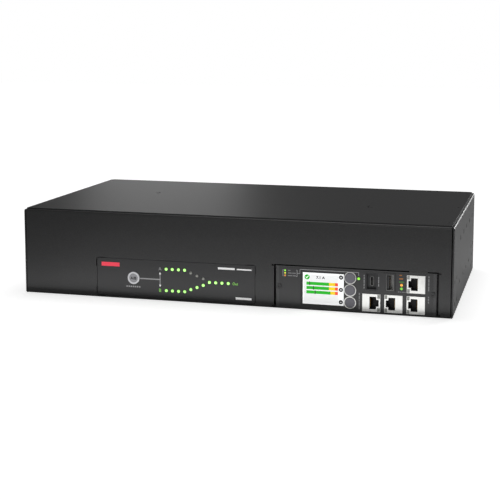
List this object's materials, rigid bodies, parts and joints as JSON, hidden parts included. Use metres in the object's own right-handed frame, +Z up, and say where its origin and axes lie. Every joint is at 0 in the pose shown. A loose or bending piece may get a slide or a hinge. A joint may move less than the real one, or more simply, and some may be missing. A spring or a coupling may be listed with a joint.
{
  "type": "rack static transfer switch",
  "caption": "Two-unit rack power transfer switch: steel chassis with a source indicator panel, a management module with display and data sockets, and rear outlets, breakers and cord glands.",
  "frame": {"origin": "middle of the underside of the chassis pan", "axes": "+X to the right seen from the front, +Y to the rear, +Z up"},
  "size_m": [0.432, 0.2618, 0.0873],
  "materials": {
    "chassis_coat": "fine-textured black powder coat",
    "plate_plastic": "matt moulded plastic",
    "face_coat": "satin dark grey paint",
    "foil": "printed matt foil",
    "black_screw": "blackened steel",
    "bare_steel": "zinc-plated sheet",
    "circuit_board": "green solder resist",
    "lit_lens": "lit green lens",
    "dark_lens": "unlit grey lens",
    "button_plastic": "satin grey plastic",
    "ring_plastic": "light grey plastic",
    "screen": "lit colour display",
    "black_plastic": "moulded black plastic",
    "tin_shield": "tinned sheet",
    "nylon": "moulded nylon",
    "seal_rubber": "soft black rubber",
    "brass": "bright brass",
    "heat_sink": "extruded aluminium"
  },
  "bodies": {
    "chassis": {"chassis_pan": "chassis_coat", "lid": "chassis_coat", "screws": "black_screw", "rear_panel": "chassis_coat", "rear_rail": "chassis_coat", "indicator_plate": "plate_plastic", "indicator_board": "circuit_board", "lamps_source_a": "lit_lens", "lamps_transfer_a": "dark_lens", "lamps_path_b": "lit_lens", "lamps_output": "lit_lens", "source_button_ring": "ring_plastic", "push_switches": "black_plastic", "module_cage": "bare_steel", "module_faceplate": "face_coat", "module_foil": "foil", "module_tray": "bare_steel", "module_front_board": "circuit_board", "module_main_board": "circuit_board", "module_chips": "black_plastic", "display": "screen", "key_rings": "ring_plastic", "usb_shells": "tin_shield", "usb_well": "black_plastic", "usb_tongues": "black_plastic", "jack_network": "black_plastic", "jack_left": "black_plastic", "jack_middle": "black_plastic", "jack_right": "black_plastic", "jack_shields": "tin_shield", "module_lamps": "lit_lens", "outlet_frame_1_low": "black_plastic", "outlet_frame_1_high": "black_plastic", "outlet_cores_1": "black_plastic", "outlet_frame_2_low": "black_plastic", "outlet_frame_2_high": "black_plastic", "outlet_cores_2": "black_plastic", "large_outlet_frames": "black_plastic", "large_outlet_cores": "black_plastic", "breaker_bodies": "black_plastic", "gland_body_a": "nylon", "gland_body_b": "nylon", "gland_nut_a": "nylon", "gland_nut_b": "nylon", "gland_seals": "seal_rubber", "gland_lock_nuts": "nylon", "earth_stud": "brass", "power_board": "circuit_board", "board_standoffs": "brass", "switching_parts": "black_plastic", "heat_sinks": "heat_sink", "supply_parts": "black_plastic", "input_filters": "bare_steel", "control_board": "circuit_board"},
    "source_button": {"source_button": "button_plastic"},
    "key_top": {"key_top": "button_plastic"},
    "key_middle": {"key_middle": "button_plastic"},
    "key_bottom": {"key_bottom": "button_plastic"},
    "breaker_rocker_1": {"breaker_rocker_1": "black_plastic"},
    "breaker_rocker_2": {"breaker_rocker_2": "black_plastic"}
  },
  "joints": [
    {"name": "source_button_press", "type": "slide", "parent": "chassis", "child": "source_button", "axis": [0, 1, 0], "range_m": [0, 0.0008], "stiffness_N_per_m": 800},
    {"name": "key_top_press", "type": "slide", "parent": "chassis", "child": "key_top", "axis": [0, 1, 0], "range_m": [0, 0.0006], "stiffness_N_per_m": 800},
    {"name": "key_middle_press", "type": "slide", "parent": "chassis", "child": "key_middle", "axis": [0, 1, 0], "range_m": [0, 0.0006], "stiffness_N_per_m": 800},
    {"name": "key_bottom_press", "type": "slide", "parent": "chassis", "child": "key_bottom", "axis": [0, 1, 0], "range_m": [0, 0.0006], "stiffness_N_per_m": 800},
    {"name": "breaker_1_switch", "type": "hinge", "parent": "chassis", "child": "breaker_rocker_1", "pos_m": [0.12924, 0.11825, 0.025], "axis": [1, 0, 0], "range_deg": [-22, 0]},
    {"name": "breaker_2_switch", "type": "hinge", "parent": "chassis", "child": "breaker_rocker_2", "pos_m": [0.12924, 0.11825, 0.061], "axis": [1, 0, 0], "range_deg": [-22, 0]}
  ]
}
